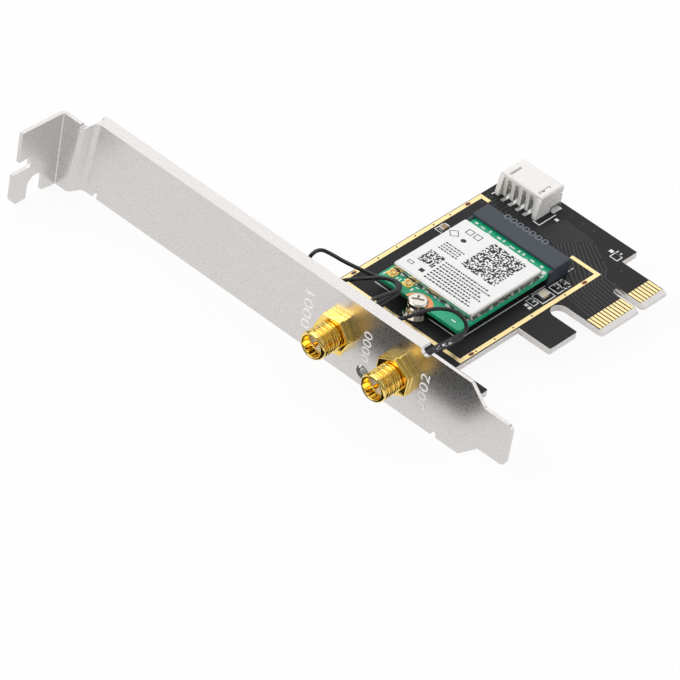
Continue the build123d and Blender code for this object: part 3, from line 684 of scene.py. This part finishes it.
# %% [markdown]
# The board's face: a silkscreen line round the module and boxes round the small
# parts in white ink, vias through the gold frame whose holes are dark discs of
# painted shade inside copper rims, and tracks that show as faint ribs where the
# mask runs over copper, from the header to the edge contacts.

# %% Board face
INK = 0.02
lines = [
    [(67.1, 20.0), (71.1, 20.0)], [(81.3, 20.0), (88.4, 20.0)], [(89.8, 20.9), (89.8, 41.6)],
    [(89.9, 42.2), (89.9, 56.0)], [(66.4, 21.0), (66.4, 30.0)],
    [(63.5, 60.4), (63.5, 61.2), (64.3, 61.2)], [(74.6, 60.6), (76.4, 60.6), (76.4, 66.0)],
]
rings = [
    [(90.35, 42.0), (93.3, 42.0), (93.3, 45.9), (90.35, 45.9)],
    [(90.7, 46.9), (93.2, 46.9), (93.2, 49.0), (90.7, 49.0)],
    [(90.7, 49.3), (93.2, 49.3), (93.2, 51.1), (90.7, 51.1)],
    [(90.5, 39.9), (92.6, 39.9), (92.6, 41.4), (90.5, 41.4)],
    [(63.6, 42.4), (66.2, 42.4), (66.2, 45.0), (63.6, 45.0)],
    [(92.2, 64.6), (94.1, 64.6), (94.1, 66.3), (92.2, 66.3)],
]
forms = [ribbon(path, 0.22, 0.0, INK) for path in lines]
forms += [ribbon(path, 0.2, 0.0, INK, True) for path in rings]
forms.append(blocks([
    [91.0, 91.8, 38.6, 39.4, 0, INK], [92.1, 92.8, 38.4, 39.3, 0, INK],
    [77.2, 78.0, 64.4, 65.2, 0, INK], [90.9, 91.8, 65.7, 66.6, 0, INK],
]))
points, faces = join(forms)
piece("board_silkscreen", points, faces, "label_paper", white_ink)

FRAME_X = (62.6, 94.35)
# Painted shade: each via hole and oval slot is a flat dark disc that stands for the shade inside
# the hole.
left = [disc(FRAME_X[0], y, 0.22, 0.04, 0.05) for y in (26.0, 31.7, 37.4, 43.1, 48.3)]
right = [disc(FRAME_X[1], y, 0.22, 0.04, 0.05) for y in (20.0, 25.8, 31.5, 37.3, 47.7)]
ovals = [disc(x, y, 0.32, 0.04, 0.05, 24, 2.2) for x in FRAME_X for y in (18.6, 53.9)]
points, faces = join(left + right + ovals)
piece("via_holes_painted_shade", points, faces, "board_mask", dark_ceramic)
cups = [disc(x, y, 0.44, 0.04, 0.045, 24, 1.9) for x in FRAME_X for y in (18.6, 53.9)]
points, faces = join(cups)
piece("frame_via_rims", points, faces, "copper", bare_copper)

bends = [
    [
        (76.5 + 0.2 * a, 59.2 + 0.62 * a), (82.0 + 0.45 * a, 58.6 + 0.62 * a),
        (90.5 + 0.35 * a, 50.2 + 0.98 * a), (96.0, 47.4 + a), (102.0, 46.65 + a),
    ]
    for a in range(12)
]
forms = [ribbon(path, 0.28, 0.0, INK) for path in bends]
fan = [[(63.2 + 1.0 * a, 56.4), (63.2 + 1.0 * a, 60.0)] for a in range(9)]
forms += [ribbon(path, 0.25, 0.0, INK) for path in fan]
stack = [[(97.0, 5.0 + 0.9 * a), (102.6, 5.0 + 0.9 * a)] for a in range(8)]
stack += [[(70.5 + 1.3 * a, 15.9), (70.5 + 1.3 * a, 17.6)] for a in range(14)]
forms += [ribbon(path, 0.22, 0.0, INK) for path in stack]
forms += [disc(x, y, 0.26, 0.0, INK, 10) for x, y in (
    (78.8, 68.2), (81.1, 62.9), (82.3, 64.0), (84.9, 68.2), (85.5, 62.6),
    (87.4, 65.0), (92.0, 62.5), (81.9, 68.3), (96.8, 62.8), (98.5, 58.6),
    (98.8, 51.7), (96.5, 50.2), (101.9, 50.7),
)]
points, faces = join(forms)
# The mask over copper: a shade lighter than the board and a little glossier.
track, tree, shader = finish("black mask raised over a copper track")
fine = grain(tree, 6.0)
vary(tree, shader, fine, "#1F1E22", "#29282D", 0.35, 0.5)
piece("board_tracks", points, faces, "board_mask", track)
print("board face:", len(points), "points of tracks")

# %% [markdown]
# The module's label is white stock printed in black. Its print is only a texture
# of seeded random cells, short dashes for rows of small type, and simple marks,
# so it says nothing. White ink and small parts surround the two receptacles.

# %% Module label and small marks
rng = np.random.default_rng(7)
TOP = 4.68
INKED = TOP + 0.01


def cells(x0, x1, y0, y1, size, share):
    """A grid of square cells, each kept where a random number falls below share."""
    gx, gy = np.meshgrid(np.arange(x0, x1, size), np.arange(y0, y1, size))
    keep = rng.random(gx.shape) < share
    a, b = gx[keep], gy[keep]
    flat = np.full(a.shape, TOP)
    return blocks(np.stack([a, a + size, b, b + size, flat, flat + 0.01], -1))


def type_row(y, x0, x1, tall):
    """A row of dashes whose lengths are random, with gaps of a space's width."""
    length = rng.uniform(0.25, 0.75, 40)
    start = x0 + np.cumsum(length + 0.22) - length
    keep = start + length < x1
    a, b = start[keep], (start + length)[keep]
    row, flat = np.full(a.shape, y), np.full(a.shape, TOP)
    return blocks(np.stack([a, b, row, row + tall, flat, flat + 0.01], -1))


forms = [cells(77.6, 86.4, 33.2, 43.6, 0.31, 0.54), cells(70.9, 74.7, 27.6, 31.9, 0.28, 0.56)]
forms += [type_row(24.4 + 0.95 * i, 75.2, 88.4 - (i % 3), 0.42) for i in range(8)]
forms += [type_row(33.6 + 0.8 * i, 71.0, 76.4, 0.35) for i in range(4)]
diamond = [(70.4, 38.4), (71.6, 39.6), (70.4, 40.8), (69.2, 39.6)]
forms.append(ribbon(diamond, 0.16, TOP, INKED, True))
for x in (71.6, 73.7):
    box = [(x, 41.7), (x + 1.4, 41.7), (x + 1.4, 43.2), (x, 43.2)]
    forms.append(ribbon(box, 0.18, TOP, INKED, True))
forms.append(disc(73.2, 39.3, 0.6, TOP, INKED))
box = [(70.2, 25.4), (71.4, 25.4), (71.4, 26.2), (70.2, 26.2)]
forms.append(ribbon(box, 0.16, TOP, INKED, True))
forms.append(blocks([[73.4, 74.5, 25.0, 26.1, TOP, INKED]]))
points, faces = join(forms)
piece("label_print", points, faces, "label_paper", black_ink)
print("label print:", len(faces) // 6, "blocks")

DECK = 3.0
marks = blocks([
    [*row, DECK, DECK + INK] for row in (
        (68.5, 68.8, 20.1, 20.9), (71.2, 71.5, 21.0, 21.8), (71.9, 72.2, 21.0, 21.8),
        (72.5, 72.8, 22.1, 22.5), (75.4, 75.8, 20.6, 21.5), (75.6, 76.4, 22.1, 22.4),
        (68.6, 69.0, 22.3, 22.6), (69.4, 70.2, 19.3, 19.6), (86.8, 87.9, 20.3, 20.6),
    )
])
dashes = blocks([
    [x, x + 0.9, 45.5 + 0.35 * (i % 2), 45.95 + 0.5 * (i % 3), DECK, DECK + INK]
    for i, x in enumerate(np.linspace(70.0, 88.6, 12))
])
bars = blocks([
    [x, x + wide, 47.3, 47.3 + tall, DECK, DECK + INK]
    for x, wide, tall in (
        (69.6, 0.7, 0.5), (71.2, 1.1, 0.3), (73.4, 0.4, 0.7), (75.6, 0.9, 0.5), (77.1, 0.4, 0.7),
        (79.0, 1.3, 0.35), (81.2, 0.5, 0.7), (82.4, 0.5, 0.7), (84.6, 1.0, 0.4), (87.2, 0.7, 0.6),
    )
])
points, faces = join([marks, dashes, bars])
piece("module_ink", points, faces, "label_paper", white_ink)
t = np.linspace(0.02, np.pi - 0.02, 40)
arc = np.stack([79.1 + 2.98 * np.cos(t), 18.8 + 2.98 * np.sin(t)], -1)
points, faces = ribbon(arc, 0.5, DECK, DECK + 0.015)
piece("screw_ring", points, faces, "copper", bare_copper)
# Painted shade: thin dark blocks on the can's side walls stand for the shade inside its gaps.
gaps = [[x, x + 1.3, 22.87, 22.895, 3.35, 3.72] for x in np.arange(69.3, 88.6, 2.1)]
gaps += [[89.605, 89.63, y, y + 1.3, 3.35, 3.72] for y in np.arange(23.6, 44.0, 2.1)]
points, faces = blocks(gaps)
piece("shield_slots_painted_shade", points, faces, "ceramic_dark", dark_ceramic)
feet = [[x, x + 1.15, 22.62, 22.86, DECK, 3.12] for x in np.arange(69.0, 89.0, 1.75)]
feet += [[89.64, 89.88, y, y + 1.15, DECK, 3.12] for y in np.arange(23.4, 44.6, 1.75)]
points, faces = blocks(feet)
piece("shield_pads", points, faces, "tin", tin)
SOCKET_Y, SIDES = 21.65, (-0.98, 0.64)
points, faces = blocks([
    [x + a, x + a + 0.34, SOCKET_Y + b, SOCKET_Y + b + 0.34, DECK, 3.42]
    for x in (69.8, 74.0) for a in SIDES for b in SIDES
])
piece("receptacle_prongs", points, faces, "gold_bright", gold_plate)
print("small marks:", len(marks[1]) + len(dashes[1]) + len(bars[1]), "faces of ink")

# %% [markdown]
# Lettering is plain figures only. A font curve gives each row its outline and a
# hair of thickness, its mesh is taken, and its points are laid on the surface by
# three directions: along the row, up the figures, and outwards.

# %% Figures


def figures(name, text, tall, long, corner, along, up, material, slot):
    """Font outline scaled to long by tall, then corner + x*along + y*up + z*out."""
    curve = bpy.data.curves.new(name, "FONT")
    curve.body = text
    curve.extrude = 0.01
    curve.resolution_u = 3
    holder = bpy.data.objects.new(name + "_outline", curve)
    bpy.context.scene.collection.objects.link(holder)
    graph = bpy.context.evaluated_depsgraph_get()
    mesh = bpy.data.meshes.new_from_object(holder.evaluated_get(graph))
    bpy.data.objects.remove(holder)
    form = bmesh.new()
    form.from_mesh(mesh)
    bmesh.ops.remove_doubles(form, verts=form.verts, dist=1e-6)
    form.to_mesh(mesh)
    faces = [[v.index for v in f.verts] for f in form.faces]
    form.free()
    p = np.empty(len(mesh.vertices) * 3)
    mesh.vertices.foreach_get("co", p)
    p = p.reshape(-1, 3)
    p[:, :2] -= p[:, :2].min(0)
    p[:, :2] *= np.array([long, tall]) / p[:, :2].max(0)
    a, u = np.array(along, float), np.array(up, float)
    out = np.cross(a, u)
    points = np.array(corner, float) + p[:, :1] * a + p[:, 1:2] * u + (p[:, 2:] + 0.01) * out
    return piece(name, points, faces, slot, material)


FACE_Y = -0.001
for name, text, x0, x1, z0, z1 in (
    ("plate_figures_1", "0001", 65.2, 67.6, -2.0, 7.3),
    ("plate_figures_0", "0000", 81.0, 83.2, -0.2, 7.4),
    ("plate_figures_2", "0002", 96.2, 98.4, -2.2, 7.0),
):
    corner, along, up = (x1, FACE_Y, z0), (0, 0, 1), (-1, 0, 0)
    figures(name, text, x1 - x0, z1 - z0, corner, along, up, white_ink, "label_paper")
# A laser mark in slate plastic: a pale, matt grey.
grey_ink, tree, shader = finish("grey laser mark")
fine = grain(tree, 8.0)
vary(tree, shader, fine, "#6E747C", "#7A8088", 0.6, 0.7)
corner, along, up = (72.6, 52.3, 4.0), (1, 0, 0), (0, 1, 0)
figures("socket_figures", "0000000", 1.7, 11.6, corner, along, up, grey_ink, "label_paper")
print("four rows of figures")

# %% [markdown]
# Marks on the round sleeves are small patches bent round the axis: the first
# coordinate of a block is read as an angle, the second runs along the sleeve and
# the third is the distance from its axis.

# %% Sleeve marks


def wrap(rows, stops):
    """Block corners (angle, y, radius) become (x + r cos a, y, z + r sin a) on the axis."""
    points, faces = blocks(rows)
    axis = np.array(stops)
    x = np.interp(points[:, 1], axis[:, 1], axis[:, 0])
    z = np.interp(points[:, 1], axis[:, 1], axis[:, 2])
    a, r = np.radians(points[:, 0]), points[:, 2]
    return np.stack([x + r * np.cos(a), points[:, 1], z + r * np.sin(a)], -1), faces


SKIN = (SLEEVE - 0.005, SLEEVE + 0.015)
starts = (9.6, 10.5, 11.3, 12.3, 13.0, 13.9, 14.6)
turns = rng.uniform(28, 44, 7)
spans = rng.uniform(24, 44, 7)
marks_2 = [
    [a, a + w, y, y + 0.42 + 0.22 * (i % 2), *SKIN]
    for i, (a, w, y) in enumerate(zip(turns, spans, starts))
]
marks_1 = [
    [a, a + w, y, y + 0.42, *SKIN] for a, w, y in ((36, 26, 9.4), (30, 34, 10.2), (40, 22, 11.0))
]
one = wrap(marks_1, route_1[:3])
two = wrap(marks_2, route_2[:4])
points, faces = join([one, two])
piece("sleeve_marks", points, faces, "label_paper", white_ink)
print("marks on two sleeves")
